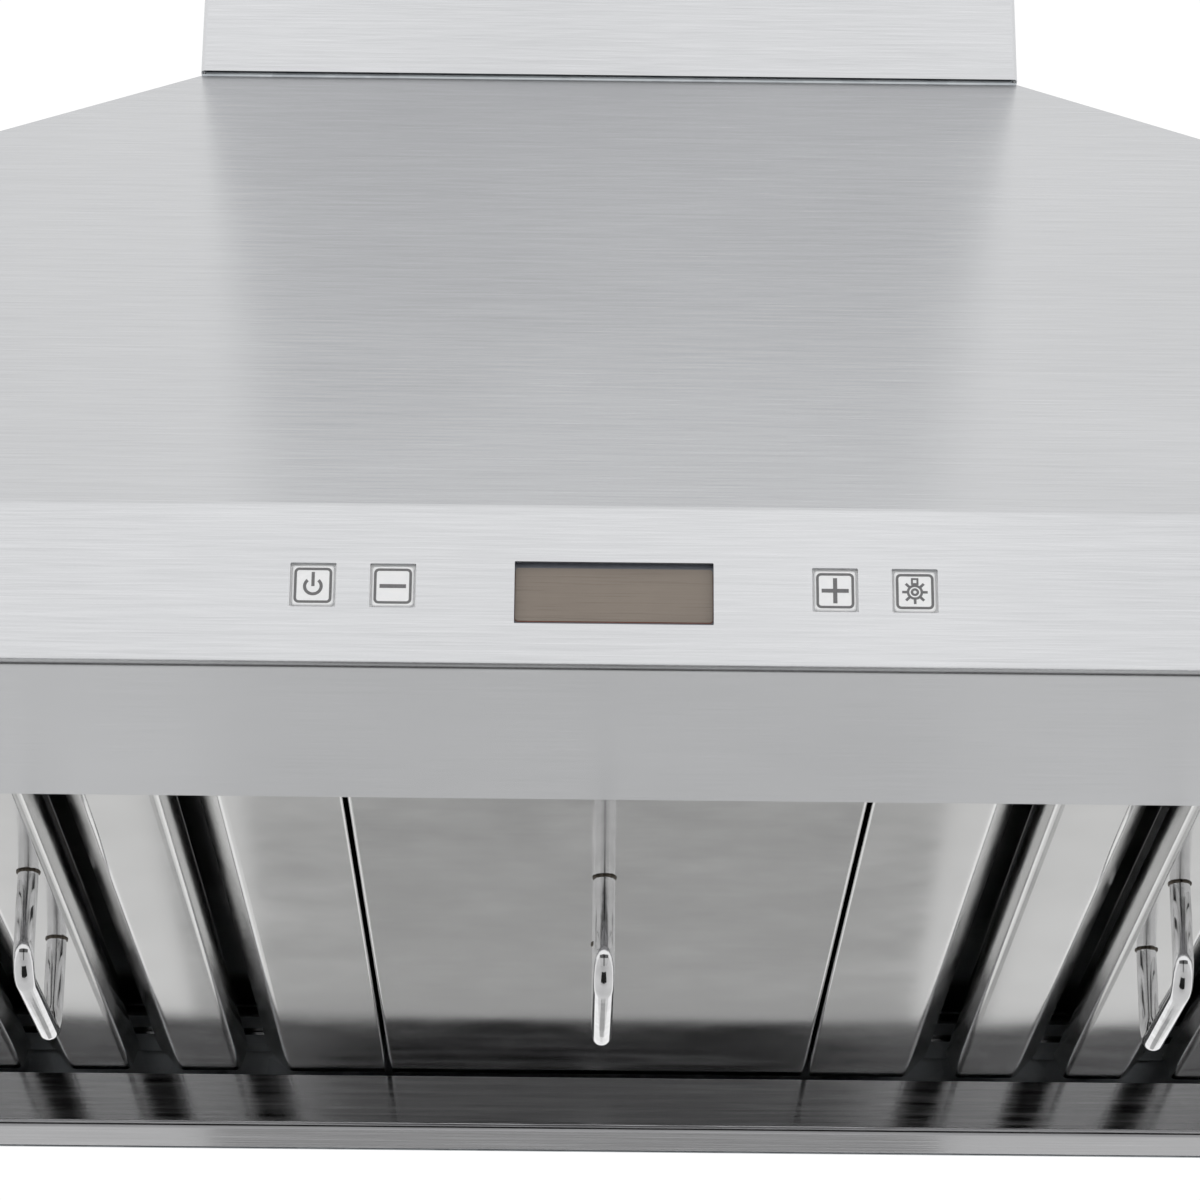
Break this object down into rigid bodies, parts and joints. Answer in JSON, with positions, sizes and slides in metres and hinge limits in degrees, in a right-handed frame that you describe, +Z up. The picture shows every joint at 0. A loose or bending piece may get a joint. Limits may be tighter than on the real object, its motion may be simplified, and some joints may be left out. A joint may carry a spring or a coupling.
{
  "type": "wall-mounted range hood",
  "caption": "Pyramid-canopy kitchen range hood with telescoping chimney cover, baffle filters with bail handles, push keys and display.",
  "frame": {"origin": "on the wall plane, on the centre line, at the canopy's bottom edge", "axes": "+X right seen from the front, +Y into the wall, +Z up"},
  "size_m": [1.2, 0.6, 1.0062],
  "materials": {
    "brushed_stainless": "horizontally brushed stainless steel",
    "rail_stainless": "semi-bright stainless steel",
    "filter_stainless": "semi-bright stainless steel",
    "polished_rod": "polished stainless rod",
    "galvanised_steel": "galvanised sheet",
    "bezel_steel": "brushed bezel",
    "damper_aluminium": "mill-finish aluminium",
    "bright_steel": "bright steel",
    "motor_black": "black enamel",
    "black_plastic": "moulded black plastic",
    "circuit_board": "solder-masked board",
    "key_white": "moulded white plastic",
    "tinted_window": "brown tinted acrylic",
    "lamp_lens": "frosted lens"
  },
  "bodies": {
    "root": {"canopy_front": "brushed_stainless", "canopy_side_left": "brushed_stainless", "canopy_side_right": "brushed_stainless", "back_panel": "galvanised_steel", "roof_plate": "galvanised_steel", "front_rail": "rail_stainless", "rear_gutter": "rail_stainless", "rear_shelf": "rail_stainless", "chimney_lower": "brushed_stainless", "chimney_screws": "bright_steel", "duct_collar": "galvanised_steel", "damper_pin": "bright_steel", "blower_housing": "galvanised_steel", "inlet_rings": "galvanised_steel", "blower_motor": "motor_black", "motor_bracket": "galvanised_steel", "control_housing": "black_plastic", "control_board": "circuit_board", "display_module": "black_plastic", "display_window": "tinted_window", "power_box": "galvanised_steel", "power_box_lid": "galvanised_steel", "cable_gland": "black_plastic", "lamp_1_housing": "bezel_steel", "lamp_1_lens": "lamp_lens", "lamp_2_housing": "bezel_steel", "lamp_2_lens": "lamp_lens", "lamp_3_housing": "bezel_steel", "lamp_3_lens": "lamp_lens", "lamp_4_housing": "bezel_steel", "lamp_4_lens": "lamp_lens"},
    "upper_cover": {"chimney_upper": "brushed_stainless", "chimney_bracket": "galvanised_steel", "bracket_screws": "bright_steel"},
    "front_flap": {"damper_flap_front": "damper_aluminium"},
    "rear_flap": {"damper_flap_rear": "damper_aluminium"},
    "blower_wheel": {"impeller": "galvanised_steel", "motor_shaft": "bright_steel"},
    "filler": {"filler_panel": "filter_stainless", "filler_handle": "polished_rod"},
    "button_power": {"button_power": "key_white"},
    "button_minus": {"button_minus": "key_white"},
    "button_plus": {"button_plus": "key_white"},
    "button_light": {"button_light": "key_white"},
    "filter_left_outer": {"filter_left_outer_lower_baffles": "filter_stainless", "filter_left_outer_upper_baffles": "filter_stainless", "filter_left_outer_frame": "filter_stainless", "filter_left_outer_handle": "polished_rod"},
    "filter_left_inner": {"filter_left_inner_lower_baffles": "filter_stainless", "filter_left_inner_upper_baffles": "filter_stainless", "filter_left_inner_frame": "filter_stainless", "filter_left_inner_handle": "polished_rod"},
    "filter_right_inner": {"filter_right_inner_lower_baffles": "filter_stainless", "filter_right_inner_upper_baffles": "filter_stainless", "filter_right_inner_frame": "filter_stainless", "filter_right_inner_handle": "polished_rod"},
    "filter_right_outer": {"filter_right_outer_lower_baffles": "filter_stainless", "filter_right_outer_upper_baffles": "filter_stainless", "filter_right_outer_frame": "filter_stainless", "filter_right_outer_handle": "polished_rod"}
  },
  "joints": [
    {"name": "button_power_press", "type": "slide", "parent": "root", "child": "button_power", "axis": [0, 1, 0], "range_m": [0, 0.0012], "stiffness_N_per_m": 400, "springref_m": -0.001},
    {"name": "button_minus_press", "type": "slide", "parent": "root", "child": "button_minus", "axis": [0, 1, 0], "range_m": [0, 0.0012], "stiffness_N_per_m": 400, "springref_m": -0.001},
    {"name": "button_plus_press", "type": "slide", "parent": "root", "child": "button_plus", "axis": [0, 1, 0], "range_m": [0, 0.0012], "stiffness_N_per_m": 400, "springref_m": -0.001},
    {"name": "button_light_press", "type": "slide", "parent": "root", "child": "button_light", "axis": [0, 1, 0], "range_m": [0, 0.0012], "stiffness_N_per_m": 400, "springref_m": -0.001},
    {"name": "filter_left_outer_lift", "type": "slide", "parent": "root", "child": "filter_left_outer", "axis": [0, 0, 1], "range_m": [0, 0.025]},
    {"name": "filter_left_inner_lift", "type": "slide", "parent": "root", "child": "filter_left_inner", "axis": [0, 0, 1], "range_m": [0, 0.025]},
    {"name": "filter_right_inner_lift", "type": "slide", "parent": "root", "child": "filter_right_inner", "axis": [0, 0, 1], "range_m": [0, 0.025]},
    {"name": "filter_right_outer_lift", "type": "slide", "parent": "root", "child": "filter_right_outer", "axis": [0, 0, 1], "range_m": [0, 0.025]},
    {"name": "filler_lift", "type": "slide", "parent": "root", "child": "filler", "axis": [0, 0, 1], "range_m": [0, 0.025]},
    {"name": "front_flap_hinge", "type": "hinge", "parent": "root", "child": "front_flap", "pos_m": [0, -0.158, 0.405], "axis": [-1, 0, 0], "range_deg": [0, 80]},
    {"name": "rear_flap_hinge", "type": "hinge", "parent": "root", "child": "rear_flap", "pos_m": [0, -0.158, 0.405], "axis": [1, 0, 0], "range_deg": [0, 80]},
    {"name": "blower_spin", "type": "hinge", "parent": "root", "child": "blower_wheel", "pos_m": [0, -0.12, 0.215], "axis": [1, 0, 0], "continuous": true},
    {"name": "upper_cover_slide", "type": "slide", "parent": "root", "child": "upper_cover", "axis": [0, 0, 1], "range_m": [0, 0.28]}
  ]
}
